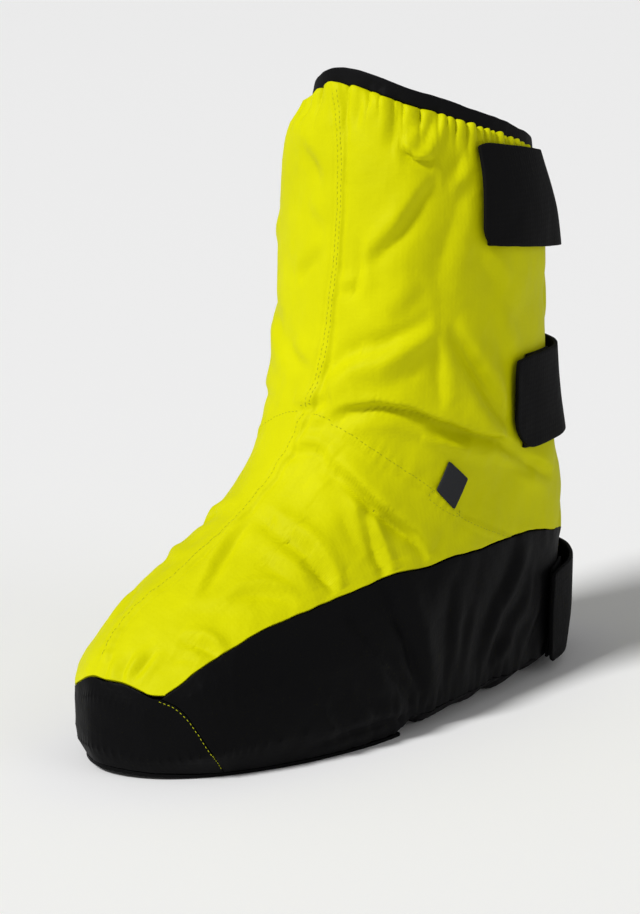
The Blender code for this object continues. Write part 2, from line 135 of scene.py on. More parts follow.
# The folds, in mm: each is a line on the cloth and its swells across it, which say how far to the left
# of the line (going along it, seen from outside), how high or, below zero, how deep, and how wide, on
# both sides or on the left and the right. The last number is how far the top leans over to the right,
# for each mm of height. On the medial side the lines run forward, so that left is up on both sides.
FOLD_DEPTH = 1.3
FOLDS = [
    # the deep fold where the shaft sags over the ankle, and the pocket under it
    ([(13, -36, 160), (19, -34, 160), (24, -30, 163), (31, -26, 166), (37, -20, 167), (44, -8, 164),
      (50, 7, 158), (54, 30, 149), (54, 55, 140), (50, 84, 125), (45, 112, 110)],
     ((-1, -3.2, 2.4), (5.5, 5.4, (14, 3.2)), (-8, 1.8, 5)), 0.65),
    ([(48, 3, 157), (52, 17, 151), (54, 32, 147)], ((-1.5, -3.4, 2.8), (-7.5, 1.8, 4)), 0.0),
    ([(52, 44, 133), (51, 66, 125), (49, 88, 117)], ((0, -1.6, 4), (6, 1.4, 5)), 0.3),
    # the arch of the fold above it, from the front seam round to the side
    ([(11, -34, 168), (14, -31, 175), (18, -29, 180), (22, -27, 185), (28, -24, 188), (37, -18, 190),
      (43, -8, 195), (47, 1, 200), (50, 9, 205)], ((0, 3.6, (3.2, 7)), (7, -2.6, 4.5)), 0.2),
    ([(26, -27, 176), (36, -19, 178), (44, -8, 181), (49, 3, 188)], ((0, -1.5, 5),), 0.0),
    ([(52, 14, 203), (54, 25, 188), (56, 36, 175), (55, 48, 161), (53, 62, 147)],
     ((0, -3.2, 3.6), (7, 3.0, (8, 4)), (-8, 1.7, 5)), 0.0),
    ([(55, 42, 205), (57, 54, 188), (56, 70, 170), (52, 88, 152)], ((0, -1.5, 6), (9, 1.4, 7)), 0.0),
    ([(49, 5, 199), (50, 8, 188), (51, 10, 176), (51, 13, 166)], ((0, -1.7, 3.5), (6, 1.2, 5)), 0.0),
    # the shaft below the collar
    ([(21, -9, 325), (18, -12, 319), (17, -14, 313), (17, -18, 303)], ((0, -1.8, 3), (5, 1.2, 4)), 0.0),
    ([(-48, 30, 298), (-43, 10, 301), (-33, -6, 304), (-18, -16, 306), (-2, -19, 306), (10, -17, 306)],
     ((-3, 3.8, (8, 16)),), 0.0),
    ([(25, -7, 323), (23, -9, 318), (21, -12, 311)], ((0, -1.5, 2.6), (4, 1.5, 3)), 0.0),
    ([(30, -3, 319), (32, -2, 313), (33, -6, 305), (33, -12, 295)], ((0, -1.8, 3), (-5, 1.4, 4)), 0.0),
    ([(39, 9, 309), (37, -4, 300), (33, -13, 294)], ((0, -1.6, 3.4), (6, 1.3, 5)), 0.0),
    ([(42, 19, 313), (42, 12, 306), (43, 5, 298), (42, -2, 293), (40, -9, 289)],
     ((0, -2.2, 3), (6, 1.8, 4)), 0.0),
    ([(38, -10, 294), (41, -6, 290), (43, -1, 287), (47, 8, 286)], ((0, -3.4, 2.2), (4.5, 3.0, (5, 3))), 0.6),
    ([(49, 9, 278), (47, 1, 270), (44, -5, 261), (40, -11, 251), (34, -17, 243), (27, -21, 236)],
     ((1, -2.2, (6, 3)), (-4.5, 2.0, (3, 6))), 0.0),
    ([(51, 31, 286), (52, 22, 272), (52, 17, 257), (51, 11, 244), (50, 8, 229), (51, 12, 205)],
     ((0, -1.4, 7), (10, 1.0, 8)), 0.0),
    ([(51, 33, 285), (51, 25, 277), (50, 16, 272)], ((0, 1.7, 4), (-6, -1.2, 4)), 0.0),
    ([(55, 36, 248), (56, 46, 236), (57, 58, 222)], ((0, 1.6, 6), (-8, -1.3, 6)), 0.0),
    ([(57, 66, 262), (57, 50, 250), (55, 34, 242)], ((0, -1.3, 5), (7, 1.0, 6)), 0.0),
    ([(13, -23, 222), (19, -24, 223), (26, -22, 226)], ((0, -1.3, 2.6), (4, 0.9, 3)), 0.0),
    ([(24, -20, 250), (24, -22, 235), (21, -24, 221)], ((0, -1.0, 3), (5, 0.8, 4)), 0.0),
    ([(35, -17, 215), (41, -11, 221), (46, -4, 230)], ((0, 1.0, 6), (-8, -1.0, 6)), 0.0),
    ([(-22, -9, 311), (-14, -16, 306), (-4, -19, 300)], ((0, -1.1, 3.4), (-6, 0.8, 5)), 0.0),
    ([(-17, -19, 291), (-9, -20, 284), (-1, -22, 273)], ((0, -1.4, 3.4), (6, 1.0, 5)), 0.0),
    ([(-14, -21, 262), (-6, -23, 256), (2, -24, 252)], ((0, -0.9, 4), (6, 0.8, 5)), 0.0),
    ([(-17, -23, 225), (-5, -24, 235), (3, -24, 243)], ((0, -1.2, 4), (7, 1.0, 5)), 0.0),
    ([(-20, -26, 190), (-9, -29, 184), (2, -31, 181)], ((0, -1.1, 4), (6, 1.0, 5)), 0.0),
    # the front of the ankle, at the seam
    ([(-8, -37, 161), (1, -37, 162), (8, -35, 165), (13, -34, 169)],
     ((0, -2.2, 2.6), (5, 1.6, 4), (-5, 1.2, 3.5)), 0.2),
    ([(-2, -45, 142), (2, -46, 141), (8, -44, 143), (16, -42, 142), (22, -41, 137)],
     ((0, -1.8, 2.6), (5.5, 1.8, 4)), 0.3),
    ([(-9, -52, 131), (-3, -54, 129), (6, -54, 127)], ((0, -1.0, 3), (5, 0.9, 4)), 0.0),
    # the vamp
    ([(18, -44, 138), (24, -42, 135), (31, -39, 131), (38, -33, 123), (44, -28, 116), (48, -20, 108),
      (52, -12, 99), (56, -4, 89)], ((-0.5, -2.6, 2.8), (5, 3.4, (9, 2.8)), (-8, 1.5, 5)), 0.4),
    ([(42, -31, 116), (44, -31, 108), (49, -30, 97), (54, -28, 85)],
     ((0, 2.8, (4.5, 2.2)), (-5, -2.4, 3.2)), 0.0),
    ([(26, -46, 130), (34, -44, 120), (40, -44, 108), (46, -42, 95)], ((0, -1.8, 3.4), (6, 1.6, 4)), 0.0),
    ([(-4, -66, 118), (13, -66, 113), (26, -64, 107), (35, -61, 100), (45, -55, 90)],
     ((0, 2.6, (5, 3.4)), (-6, -2.4, 4)), 0.0),
    ([(34, -70, 98), (41, -66, 90), (48, -63, 81)], ((0, -2.8, 3), (5, 2.2, 3.6)), 0.0),
    ([(14, -77, 104), (26, -78, 97), (34, -76, 91), (42, -74, 82)], ((0, 1.8, 4), (-6, -1.7, 4)), 0.0),
    ([(-6, -72, 112), (-5, -85, 104), (-2, -99, 95), (2, -109, 89), (5, -119, 82)],
     ((0, 1.8, 3), (5, -1.7, 3.4)), 0.0),
    ([(16, -108, 85), (21, -100, 88), (27, -92, 89), (34, -86, 87), (42, -80, 81)],
     ((0, 1.9, 3.4), (-6, -1.7, 4)), 0.0),
    ([(7, -134, 72), (12, -124, 77), (22, -115, 77), (33, -107, 75)], ((0, -1.0, 5), (7, 1.0, 6)), 0.0),
    ([(14, -137, 67), (20, -134, 66), (27, -130, 64), (33, -128, 59)],
     ((0, -2.2, 2.8), (4.5, 1.9, 3.6)), 0.0),
    ([(15, -143, 60), (20, -140, 60), (26, -136, 58)], ((0, -0.9, 3), (4, 0.8, 3)), 0.0),
    ([(7, -147, 64), (7, -153, 57), (5, -160, 49)], ((0, -1.3, 2.4), (4, 0.9, 3), (-4, 0.9, 3)), 0.0),
    ([(-2, -152, 61), (-1, -158, 54), (1, -162, 48)], ((0, -1.2, 2.4), (4, 0.8, 3)), 0.0),
    ([(-12, -156, 58), (-10, -161, 52), (-8, -165, 47)], ((0, -1.0, 2.4), (4, 0.8, 3)), 0.0),
    ([(-28, -135, 68), (-33, -125, 71), (-36, -113, 74)], ((0, -1.2, 4), (6, 1.0, 5)), 0.0),
    # the black panel of the lateral side, drawn in by the hem
    ([(53, -27, 90), (59, -25, 74), (62, -20, 61), (63, -15, 45), (63, -11, 24), (62, -9, 12)],
     ((0, 2.8, (10, 5)), (-8, -2.4, 6)), 0.0),
    ([(63, -38, 46), (64, -27, 33), (63, -20, 20), (62, -19, 10)], ((0, 1.7, 4.1), (-5, -1.4, 4.1)), 0.0),
    ([(53, -68, 68), (60, -58, 53), (63, -46, 37), (64, -32, 21), (62, -24, 10)],
     ((0, 1.9, 6.8), (8, -1.6, 6.8)), 0.0),
    ([(60, -68, 32), (63, -57, 21), (62, -49, 12)], ((0, 1.5, 4.7), (6, -1.2, 4.7)), 0.0),
    ([(57, -85, 28), (59, -79, 18), (58, -72, 9)], ((0, 1.4, 4.1), (5, -1.2, 4.1)), 0.0),
    ([(52, -98, 43), (57, -87, 33), (60, -72, 20), (60, -62, 12)], ((0, 1.4, 6.8), (7, -1.1, 6.8)), 0.0),
    ([(63, -47, 25), (63, -39, 16), (62, -33, 10)], ((0, 1.3, 3.8), (-5, -1.1, 4.1)), 0.0),
    ([(60, 12, 76), (62, 6, 55), (63, 2, 32), (62, -1, 14)], ((0, -1.5, 6.8), (8, 1.4, 6.8)), 0.0),
    ([(60, 30, 60), (61, 24, 42), (61, 18, 24), (60, 14, 12)], ((0, 1.3, 5.4), (-6, -1.1, 5.4)), 0.0),
    ([(53, 81, 84), (54, 76, 72), (56, 67, 60), (58, 53, 49), (59, 42, 34), (59, 34, 14)],
     ((0, 1.9, 6.5), (-9, -1.4, 6.8), (9, -1.2, 6.8)), 0.0),
    ([(53, 86, 70), (55, 82, 48), (57, 66, 37), (58, 59, 25), (57, 58, 12)],
     ((0, 1.1, 5), (7, -0.9, 5)), 0.0),
    ([(50, 101, 54), (54, 86, 35), (55, 74, 21), (56, 70, 11)], ((0, 1.3, 5.4), (8, -1.0, 5.4)), 0.0),
    ([(46, 117, 22), (51, 98, 18), (53, 91, 10)], ((0, 1.4, 4.1), (5, -1.1, 4.1)), 0.0),
    ([(57, 66, 30), (59, 52, 23), (58, 45, 12)], ((0, 1.3, 4.1), (-5, -1.1, 4.1)), 0.0),
    # the seam where the hem's casing runs on forward beside the sole
    ([(52, -90, 8), (57, -75, 11), (60, -63, 12), (62, -50, 12), (62, -34, 11), (61, -20, 11)],
     ((0, -1.5, 1.8), (-5, 0.9, 3)), 0.0),
    # the medial side of the shaft
    ([(-44, 110, 116), (-50, 84, 128), (-53, 55, 140), (-54, 28, 149), (-49, 5, 157), (-42, -12, 162),
      (-33, -25, 163), (-24, -31, 162)], ((-0.5, -1.6, 3.5), (6.5, 2.6, (12, 6)), (-8, 0.8, 6)), 0.4),
    ([(-51, 12, 214), (-46, -2, 203), (-37, -17, 193), (-24, -27, 184), (-12, -32, 172)],
     ((0, 1.6, (5, 8)), (8, -1.2, 6)), 0.0),
    ([(-54, 60, 205), (-55, 42, 188), (-54, 28, 172), (-52, 16, 160)], ((0, -2.0, 5), (-8, 1.7, 6)), 0.0),
    ([(-42, -6, 262), (-47, 6, 250), (-51, 22, 240), (-54, 42, 236)], ((0, -2.0, 4), (7, 1.8, 5)), 0.0),
    ([(-47, 34, 296), (-50, 30, 280), (-52, 26, 262)], ((0, -1.5, 5), (8, 1.2, 6)), 0.0),
    ([(-50, 78, 290), (-53, 70, 270), (-54, 58, 252)], ((0, 1.5, 5), (8, -1.2, 6)), 0.0),
    ([(-51, 96, 186), (-54, 76, 176), (-54, 54, 170)], ((0, -1.6, 5), (7, 1.4, 6)), 0.0),
    # the medial vamp and panel
    ([(-52, 10, 92), (-48, -8, 104), (-43, -20, 115), (-36, -30, 125)],
     ((-0.5, -2.0, 3.4), (5.5, 2.2, (8, 5)), (-8, 1.0, 5)), 0.3),
    ([(-46, -52, 86), (-37, -58, 98), (-24, -63, 107), (-12, -66, 113)], ((0, 1.6, 5), (-7, -1.4, 5)), 0.0),
    ([(-44, -82, 74), (-38, -90, 80), (-30, -98, 84), (-22, -104, 86)], ((0, -1.5, 4), (6, 1.3, 5)), 0.0),
    ([(-50, -24, 86), (-51, -19, 62), (-50, -13, 38), (-47, -9, 13)], ((0, 2.2, 4.5), (-8, -1.9, 5)), 0.0),
    ([(-50, -66, 60), (-53, -54, 42), (-52, -43, 24), (-49, -36, 11)], ((0, 1.6, 5), (8, -1.4, 5)), 0.0),
    ([(-50, 18, 84), (-49, 24, 60), (-48, 28, 36), (-45, 30, 13)], ((0, 1.8, 4.5), (-8, -1.5, 5)), 0.0),
    ([(-49, 78, 76), (-48, 68, 54), (-46, 58, 34), (-44, 52, 13)], ((0, 2.0, 4.5), (8, -1.6, 5)), 0.0),
    ([(-43, 108, 56), (-43, 98, 36), (-41, 88, 13)], ((0, 1.5, 4), (7, -1.3, 4)), 0.0),
    ([(-45, -90, 8), (-49, -74, 11), (-51, -56, 12), (-50, -38, 11), (-48, -20, 11)],
     ((0, -1.5, 1.8), (5, 0.9, 3)), 0.0),
    # the back, between the straps
    ([(36, 118, 230), (38, 112, 212), (40, 106, 200)], ((0, -1.8, 4), (7, 1.5, 5)), 0.0),
    ([(-34, 118, 236), (-38, 112, 220), (-42, 104, 206)], ((0, -1.6, 4), (-7, 1.3, 5)), 0.0),
    ([(-40, 118, 118), (-30, 126, 112), (-16, 132, 108)], ((0, -1.8, 4), (6, 1.6, 5)), 0.3),
    ([(18, 136, 100), (28, 132, 88), (38, 124, 76)], ((0, -1.6, 4), (6, 1.4, 5)), 0.0),
]

# The seams of the shell, in mm: down the front, and over the instep to the outer and the inner side.
FRONT_SEAM = [(-15.5, -158, 57), (-19, -150, 64), (-20, -141, 71), (-17, -126, 80.5), (-13, -105, 92),
              (-9.5, -84, 104), (-3.5, -53, 130), (0, -42, 148), (3.5, -35, 165), (7.5, -28, 190),
              (9.5, -25, 220), (11, -23, 250), (11.5, -22, 270), (9.5, -19, 298), (4, -15, 320)]
INSTEP_SEAM = [(4, -37, 163), (14.2, -35.8, 158.5), (21.5, -34.1, 155), (33.5, -27.7, 147),
               (44.1, -13.1, 134.5), (51.5, 5.7, 120), (53.8, 15, 111.5), (55, 25.2, 102.5),
               (55.5, 37.8, 96), (55.2, 51.6, 90), (54.4, 67.5, 83), (53, 80, 78)]
INSTEP_SEAM_MEDIAL = [(2, -37, 162), (-9, -36, 158), (-20, -33, 152), (-32, -26, 143), (-43, -12, 130),
                      (-50, 6, 115), (-53, 25, 100), (-54, 45, 90), (-53, 67, 82)]

# Where the elastic pinches the collar, as degrees round it from the front, towards the outer side.
PINCHES = [-174, -167, -159, -152, -145, -137, -130, -123, -115, -108, -100, -93, -87, -81, -73, -66, -60,
           -52, -44, -37, -31, -23, -16, -8, 7.6, 16.8, 21.8, 27.4, 31.1, 38.7, 48, 52.9, 57.9, 65.6,
           73.9, 80.1, 86.3, 91.2, 99.9, 104.5, 111.6, 119.2, 126, 133.5, 141, 147, 153, 160, 166, 172]
COLLAR_CENTRE = (1.0, 53.0)


def along(line, step=1.5):
    """A smooth line through the points of a fold, as points about step mm apart."""
    knots = [np.array(point, float) for point in line]
    knots = [2 * knots[0] - knots[1]] + knots + [2 * knots[-1] - knots[-2]]
    smooth = []
    for before, start, end, after in zip(knots, knots[1:], knots[2:], knots[3:]):
        count = max(2, int(np.linalg.norm(end - start) / step))
        for t in np.arange(count) / count:
            smooth.append(0.5 * (2 * start + (end - before) * t
                                 + (2 * before - 5 * start + 4 * end - after) * t ** 2
                                 + (3 * start - before - 3 * end + after) * t ** 3))
    return np.array(smooth + [knots[-2]])


def away_from_middle(points):
    """The direction, for each point in mm, in which the cloth lies from the middle of leg and foot."""
    # The points of the middle line count less the further off they are.
    offsets = points[:, None, :] - np.array(MIDDLE, float)[None]
    near = (offsets ** 2).sum(2) ** -3
    away = (offsets * near[..., None]).sum(1)
    return away / np.linalg.norm(away, axis=1)[:, None]


def beside(points, away, line, reach):
    """For the points within reach of a line: which they are, how far they lie to its left, how far
    along it, from 0 to 1, how far past its end, its length, and the way to its left."""
    path = along(line)
    close = np.where(((points > path.min(0) - reach) & (points < path.max(0) + reach)).all(1))[0]
    run = path[1:] - path[:-1]
    length = np.sqrt((run ** 2).sum(1))
    ends = np.concatenate([[0], np.cumsum(length)])
    gap = points[close][:, None, :] - path[None, :-1]
    share = np.clip((gap * run[None]).sum(2) / length[None] ** 2, 0, 1)
    gap = gap - share[..., None] * run[None]
    best = (gap ** 2).sum(2).argmin(1)
    rows = np.arange(len(close))
    offset = gap[rows, best]
    ahead = run[best] / length[best][:, None]
    left = np.cross(away[close], ahead)
    left /= np.linalg.norm(left, axis=1)[:, None]
    travel = (ends[best] + share[rows, best] * length[best]) / ends[-1]
    return close, (offset * left).sum(1), travel, np.abs((offset * ahead).sum(1)), ends[-1], left


def drape(points):
    """How far the folds move each point, in mm."""
    away = away_from_middle(points)
    push = np.zeros_like(points)
    for line, swells, lean in FOLDS:
        # At 2.2 times its width from its middle a swell is too low to count.
        reach = max(abs(side) + 2.2 * np.max(width) for side, _, width in swells)
        close, side, travel, past, _, left = beside(points, away, line, reach)
        if not len(close):
            continue
        # A fold rises from nothing and dies away at its ends.
        fade = np.sin(np.clip(travel, 0, 1) * math.pi) ** 0.6 * np.exp(-(past / 4) ** 2)
        for place, height, width in swells:
            left_width, right_width = width if isinstance(width, tuple) else (width, width)
            widths = np.where(side > place, left_width, right_width)
            # Crests are round, and valleys narrow to a crease.
            power = 2.0 if height > 0 else 1.5
            swell = FOLD_DEPTH * height * np.exp(-np.abs((side - place) / widths) ** power) * fade
            push[close] += away[close] * swell[:, None]
            if height > 0 and lean:
                push[close] -= left * (lean * swell)[:, None]
    # From 30 mm down to the floor the cloth goes more and more outwards only, and not down.
    push[:, 2] *= np.clip(points[:, 2] / 30, 0, 1)
    return push


def seam_relief(points):
    """How far the doubled cloth of the seams stands out at each point, in mm."""
    away = away_from_middle(points)
    rise = np.zeros(len(points))
    for line, half_width, height in ((FRONT_SEAM, 2.0, 0.7), (INSTEP_SEAM, 1.8, 0.35),
                                     (INSTEP_SEAM_MEDIAL, 1.8, 0.35)):
        close, side, travel, past, length, _ = beside(points, away, line, 16)
        flat = 1 / (1 + (np.abs(side) / half_width) ** 8)
        groove = np.exp(-((np.abs(side) - 1.8 * half_width) / 1.2) ** 2)
        # The thread draws the cloth into puckers about 8 mm apart, which die away 6 mm from the seam.
        ripple = np.sin(travel * length * 2 * math.pi / 8 + 3 * np.sin(travel * 23))
        pucker = ripple * np.exp(-(side / 6) ** 2)
        rise[close] += height * (flat - 0.7 * groove + 0.4 * pucker) * np.exp(-(past / 2) ** 2)
    return away * rise[:, None]


def lobes(place, marks, turn=None):
    """The swell of cloth between the pinches, from 0 at each to 1 between, and the space between them."""
    marks = np.sort(np.array(marks, float))
    if turn:
        marks = np.concatenate([[marks[-1] - turn], marks, [marks[0] + turn]])
    index = np.clip(np.searchsorted(marks, place) - 1, 0, len(marks) - 2)
    space = marks[index + 1] - marks[index]
    share = np.clip((place - marks[index]) / space, 0, 1)
    return np.sqrt(np.clip(1 - (2 * share - 1) ** 2, 0, 1)), space


def collar_gathers(points):
    """How far the cloth puffs out between the pinches, and over the lower edge of the collar's elastic."""
    # The lower edge of the elastic, every 10 degrees round the collar.
    band = np.array([vertex.co for vertex in frame["nodes"]["collar_binding"].data.vertices]) * 1000
    band_turn = np.degrees(np.arctan2(band[:, 0] - COLLAR_CENTRE[0], COLLAR_CENTRE[1] - band[:, 1]))
    bins = np.arange(-180, 181, 10)
    low = [band[np.abs((band_turn - turn + 180) % 360 - 180) < 7, 2].min() for turn in bins]
    turn = np.degrees(np.arctan2(points[:, 0] - COLLAR_CENTRE[0], COLLAR_CENTRE[1] - points[:, 1]))
    below = np.interp(turn, bins, low) - points[:, 2]
    puff, space = lobes(turn, PINCHES, 360)
    # The wider the space between two pinches, the higher and the longer the puff, which starts under
    # the elastic.
    height = np.minimum(0.55 * space, 4.6)
    start = np.clip((below + 4) / 2.5, 0, 1)
    end = np.exp(-(np.clip(below - 1, 0, None) / (2.5 + 0.5 * space)) ** 1.3)
    swell = height * (puff - 0.35) * start * end
    push = away_from_middle(points) * swell[:, None]
    push[:, 2] += 0.6 * np.clip(swell, 0, None) * np.exp(-(below / 4) ** 2)
    return push


def calm(points):
    """How freely the cloth folds at each point, from 0.2 under the straps, patches and label to 1."""
    held_reach = 12
    free = np.ones(len(points))
    for name, node in frame["nodes"].items():
        if not name.startswith(("strap", "loop_patch", "side_label")):
            continue
        spots = np.array([vertex.co for vertex in node.data.vertices]) * 1000
        low, high = spots.min(0) - held_reach - 2, spots.max(0) + held_reach + 2
        near = np.where(((points > low) & (points < high)).all(1))[0]
        surface = BVHTree.FromPolygons([Vector(spot) for spot in spots],
                                       [tuple(face.vertices) for face in node.data.polygons])
        for index in near:
            gap = min(surface.find_nearest(Vector(points[index]))[3] / held_reach, 1)
            free[index] = min(free[index], 0.2 + 0.8 * gap * gap * (3 - 2 * gap))
    return free


# The seed keeps the cloth's unevenness the same in each run.
noise.seed_set(5)


def settle(piece, slack=0.8, more=()):
    """Drapes a piece in its folds, with slack mm of unevenness all over, and whatever more is asked for."""
    mesh = piece.data
    points = np.empty(len(mesh.vertices) * 3)
    mesh.vertices.foreach_get("co", points)
    points = points.reshape(-1, 3) * 1000
    push = drape(points)
    # The cloth is uneven over about 23 mm, and less so over 8 mm.
    uneven = [noise.noise_vector(Vector(point) / 23) + 0.35 * noise.noise_vector(Vector(point) / 8)
              for point in points]
    push += np.array(uneven) * [slack, slack, 1.8 * slack]
    push *= calm(points)[:, None]
    # From 20 mm down, the cloth stays more and more on the floor.
    push[:, 2] *= np.clip(points[:, 2] / 20, 0, 1)
    for form in more:
        push += form(points)
    mesh.vertices.foreach_set("co", ((points + push) / 1000).ravel())
    mesh.update()


def colour(hex_code):
    """A linear colour from its sRGB hex code."""
    channels = [int(hex_code[place:place + 2], 16) / 255 for place in (1, 3, 5)]
    return [c / 12.92 if c < 0.04045 else ((c + 0.055) / 1.055) ** 2.4 for c in channels] + [1.0]


def material(name):
    """An empty material with its node tree, ready for a Principled shader."""
    made = bpy.data.materials.new(name)
    made.use_nodes = True
    made.node_tree.nodes.clear()
    return made


def add(made, kind, settings=None, links=None):
    """Adds a node to a material with its settings, by property or input name, and its links."""
    tree = made.node_tree
    node = tree.nodes.new(kind)
    for name, value in (settings or {}).items():
        if isinstance(name, str) and hasattr(node, name):
            setattr(node, name, value)
        else:
            node.inputs[name].default_value = value
    for name, (source, output) in (links or {}).items():
        tree.links.new(source.outputs[output], node.inputs[name])
    return node


def woven_cloth(name, light, dark, roughness, gloss, thread, relief):
    """A plain-weave cloth: two sets of threads at right angles, thread metres apart and relief metres
    high, a soft crumple, and a shade that wanders between two colours."""
    made = material(name)
    place = add(made, "ShaderNodeTexCoord")
    # A wave's bands lie 2 pi / (20 scale) apart.
    bands = 2 * math.pi / 20 / thread
    warp = add(made, "ShaderNodeTexWave", {"bands_direction": "X", "Scale": bands}, {"Vector": (place, "UV")})
    weft = add(made, "ShaderNodeTexWave", {"bands_direction": "Y", "Scale": bands}, {"Vector": (place, "UV")})
    weave = add(made, "ShaderNodeMath", {"operation": "MULTIPLY"}, {0: (warp, "Fac"), 1: (weft, "Fac")})
    blotch = add(made, "ShaderNodeTexNoise", {"Scale": 26.0, "Detail": 4.0, "Roughness": 0.6},
                 {"Vector": (place, "Object")})
    tone = add(made, "ShaderNodeValToRGB", links={"Fac": (blotch, "Fac")})
    tone.color_ramp.elements[0].position = 0.3
    tone.color_ramp.elements[0].color = colour(dark)
    tone.color_ramp.elements[1].position = 0.7
    tone.color_ramp.elements[1].color = colour(light)
    rough = add(made, "ShaderNodeMapRange", {"From Min": 0.25, "From Max": 0.75, "To Min": roughness - 0.05,
                                             "To Max": roughness + 0.05}, {"Value": (blotch, "Fac")})
    crumple = add(made, "ShaderNodeTexNoise", {"Scale": 90.0, "Detail": 3.0, "Roughness": 0.55},
                  {"Vector": (place, "Object")})
    soft = add(made, "ShaderNodeBump", {"Strength": 0.45, "Distance": 0.0012}, {"Height": (crumple, "Fac")})
    fine = add(made, "ShaderNodeBump", {"Strength": 0.5, "Distance": relief},
               {"Height": (weave, "Value"), "Normal": (soft, "Normal")})
    shader = add(made, "ShaderNodeBsdfPrincipled",
                 {"IOR": 1.5, "Specular IOR Level": gloss},
                 {"Base Color": (tone, "Color"), "Roughness": (rough, "Result"), "Normal": (fine, "Normal")})
    add(made, "ShaderNodeOutputMaterial", links={"Surface": (shader, "BSDF")})
    return made


# Polyester shell cloth, plain weave with a coated back: a deep greenish yellow with a soft gloss that
# pales where the light falls on it. Its 0.3 mm threads are drawn 1.2 mm wide, so that they show.
shell_cloth = woven_cloth("polyester_shell_cloth_fluorescent", light="#D0D000", dark="#C6C600",
                          roughness=0.6, gloss=0.06, thread=0.0012, relief=0.00006)

# The two points at which shell, toe cap and side panel meet, which stay sharp.
CAP_CORNERS = ((0.0205, -0.1530, 0.0420), (-0.0434, -0.1517, 0.034))

shell = take("upper", "upper_shell")
keep_skin(shell, (0.0555, 0.049, 0.193), (1, 0, 0), True)
refine(shell, corners=CAP_CORNERS)
settle(shell, more=(seam_relief, collar_gathers))
shell.data.materials.append(shell_cloth)
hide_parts("upper")
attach(shell, "root")


# The seams' stitching: yellow polyester thread, lockstitched along the folded edges of the seams on the
# shaft, down the vamp and over the instep, and in a small rectangle that holds the tab of the label.
def sew(name, rows, target, pitch, long, thick, thread):
    """Sews rows of stitches on a settled piece, pitch mm apart. Each row is a line in mm and how far to
    its left it runs. One stitch is modelled and copied to each place, flat on the cloth."""
    mesh = target.data
    surface = BVHTree.FromPolygons([vertex.co for vertex in mesh.vertices],
                                   [tuple(face.vertices) for face in mesh.polygons])
    bpy.ops.object.select_all(action="DESELECT")
    bpy.ops.mesh.primitive_ico_sphere_add(subdivisions=1, radius=0.5)
    pattern = bpy.context.object
    bpy.ops.object.shade_smooth()
    stitches = []
    for line, offset in rows:
        path = along(line, 0.4)
        away = away_from_middle(path)
        ahead = np.gradient(path, axis=0)
        left = np.cross(away, ahead)
        # The row is sought from 3 mm outside, so that it comes to lie on the outer face of a thin piece.
        path = path + left / np.linalg.norm(left, axis=1)[:, None] * offset + 3 * away
        ways = np.concatenate([[0], np.cumsum(np.linalg.norm(path[1:] - path[:-1], axis=1))])
        for way in np.arange(pitch / 2, ways[-1], pitch):
            spot = Vector([np.interp(way, ways, path[:, axis]) for axis in range(3)]) / 1000
            beyond = Vector([np.interp(way + 0.3, ways, path[:, axis]) for axis in range(3)]) / 1000
            place, normal, _, gap = surface.find_nearest(spot)
            # Where a row runs off the piece, it isn't sewn.
            if gap > 0.012:
                continue
            course = beyond - spot
            course -= normal * course.dot(normal)
            turned = Matrix([course.normalized(), normal.cross(course.normalized()), normal]).transposed()
            copy = bpy.data.objects.new(name, pattern.data.copy())
            copy.matrix_world = Matrix.LocRotScale(place, turned, Vector((long, thick, thick)) / 1000)
            bpy.context.scene.collection.objects.link(copy)
            stitches.append(copy)
    bpy.data.objects.remove(pattern)
    for copy in stitches:
        copy.select_set(True)
    bpy.context.view_layer.objects.active = stitches[0]
    bpy.ops.object.join()
    bpy.ops.object.transform_apply(location=True, rotation=True, scale=True)
    seam = bpy.context.object
    seam.name = name
    seam.data.materials.clear()
    seam.data.materials.append(thread)
    return seam


def plain_fibre(name, shade, roughness, gloss):
    """A fibre of one colour, fine enough that its gloss is soft."""
    made = material(name)
    shader = add(made, "ShaderNodeBsdfPrincipled", {"Base Color": colour(shade), "Roughness": roughness,
                                                    "IOR": 1.5, "Specular IOR Level": gloss})
    add(made, "ShaderNodeOutputMaterial", links={"Surface": (shader, "BSDF")})
    return made


# Spun polyester thread, coloured a little darker than the cloth: painted shade, for the small shadow it lies
# in.
thread_with_painted_shade = plain_fibre("polyester_thread_fluorescent", "#A3A600", roughness=0.6, gloss=0.2)

# The near edge of the small rectangle, in mm.
LABEL_TAB = [(51, 6, 121), (50, 4, 116), (54, 20, 105), (55, 24, 109)]
stitching = sew("shell_seam_stitching",
                [(FRONT_SEAM[4:], 1.6), (FRONT_SEAM[8:], -1.0), (FRONT_SEAM[:6], 1.2), (INSTEP_SEAM, 0.9),
                 (INSTEP_SEAM_MEDIAL, -0.9), (LABEL_TAB, 0.0)],
                shell, pitch=2.6, long=1.7, thick=0.42, thread=thread_with_painted_shade)
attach(stitching, "root")


# The lining: black taffeta over thin wadding, sewn to the shell at the collar and the hem. It lies
# inside the shell and shows only at the collar and underneath.
#
# Taffeta is a smooth, close weave: a dark grey with a faint shine where light reaches it. Its 0.1 mm
# threads are drawn 1.2 mm wide, so that they show.
lining_cloth = woven_cloth("polyester_taffeta_lining", light="#1C1D1F", dark="#151618",
                           roughness=0.6, gloss=0.15, thread=0.0012, relief=0.00004)


def inward(points):
    """Keeps the lining clear of the shell, further in where the folds are deep, by up to 5 mm."""
    depth = np.linalg.norm(drape(points), axis=1)
    return -away_from_middle(points) * np.minimum(0.55 * depth, 5)[:, None]


lining = take("upper", "upper_lining")
keep_skin(lining, (0.0525, 0.049, 0.193), (-1, 0, 0), False)
refine(lining, levels=2)
settle(lining, more=(inward,))
lining.data.materials.append(lining_cloth)
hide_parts("upper")
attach(lining, "root")


